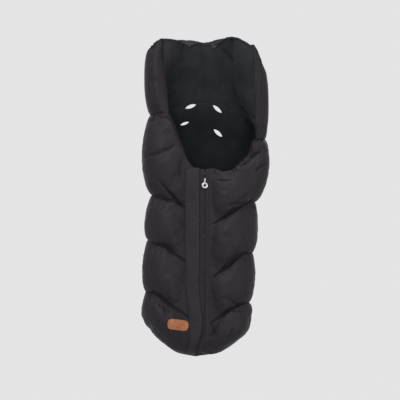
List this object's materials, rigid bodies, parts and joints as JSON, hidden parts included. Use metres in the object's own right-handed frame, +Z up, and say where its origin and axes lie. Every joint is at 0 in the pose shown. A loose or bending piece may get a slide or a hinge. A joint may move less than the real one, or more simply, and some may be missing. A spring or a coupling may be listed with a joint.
{
  "type": "stroller footmuff",
  "caption": "Puffy quilted stroller footmuff with hood, front zip, storm flap, harness slots and rear webbing loops, hanging upright from a bar.",
  "frame": {"origin": "centre of the horizontal bar that passes through both rear webbing loops, midway between them", "axes": "+X to the right seen from the front, +Y to the rear, -Y out of the front, +Z up from the foot end to the hood"},
  "size_m": [0.4031, 0.2118, 1.0123],
  "materials": {
    "nylon": "matte down-proof nylon",
    "fleece": "brushed fleece",
    "zip_tape": "woven tape",
    "zip_coil": "black coil",
    "black_metal": "satin black",
    "silver_metal": "polished",
    "tan_leather": "smooth, bare",
    "webbing": "woven webbing",
    "grip_fabric": "rubber-dotted fabric",
    "elastic": "woven elastic"
  },
  "bodies": {
    "back": {"back_shell": "nylon", "back_lining": "fleece", "hood_shell": "nylon", "hood_lining": "fleece", "hood_casing": "nylon", "hood_elastic": "elastic", "upper_left_slot_binding": "webbing", "upper_right_slot_binding": "webbing", "lower_left_slot_binding": "webbing", "lower_right_slot_binding": "webbing", "crotch_slot_binding": "webbing", "grip_patch": "grip_fabric", "hanging_loop_left": "webbing", "hanging_loop_right": "webbing", "zip_bottom_stop": "black_metal"},
    "front_left": {"front_left_shell": "nylon", "front_left_lining": "fleece", "zip_tape_left": "zip_tape", "zip_teeth_left": "zip_coil", "zip_top_stop_left": "black_metal", "leather_label": "tan_leather"},
    "front_right": {"front_right_shell": "nylon", "front_right_lining": "fleece", "zip_tape_right": "zip_tape", "zip_teeth_right": "zip_coil", "zip_top_stop_right": "black_metal", "neck_casing": "nylon", "neck_elastic": "elastic"},
    "flap": {"storm_flap": "nylon"},
    "slider": {"zip_slider": "black_metal", "slider_bridge": "black_metal"},
    "puller": {"ring_puller": "silver_metal"}
  },
  "joints": [
    {"name": "front_left_open", "type": "hinge", "parent": "back", "child": "front_left", "pos_m": [-0.19853, -0.0895, -0.5], "axis": [0, 0, -1], "range_deg": [0, 80], "deforming": ["zip_tape_left", "zip_teeth_left"]},
    {"name": "front_right_open", "type": "hinge", "parent": "back", "child": "front_right", "pos_m": [0.2082, -0.0895, -0.325], "axis": [0.1288, 0, 0.9917], "range_deg": [0, 80], "deforming": ["zip_tape_right", "zip_teeth_right"]},
    {"name": "zip_slide", "type": "slide", "parent": "back", "child": "slider", "axis": [0, 0, -1], "range_m": [0, 0.4665]},
    {"name": "flap_fold", "type": "hinge", "parent": "front_left", "child": "flap", "pos_m": [-0.0166, -0.1585, -0.62], "axis": [0, 0, 1], "range_deg": [0, 150]},
    {"name": "puller_swing", "type": "hinge", "parent": "slider", "child": "puller", "pos_m": [0, -0.1564, -0.3698], "axis": [-1, 0, 0], "range_deg": [0, 165]}
  ],
  "couplings": [
    {"joint": "front_right_open", "follows": "front_left_open", "ratio": 1},
    {"joint": "zip_slide", "follows": "front_left_open", "m_per_rad": 0.33411}
  ]
}
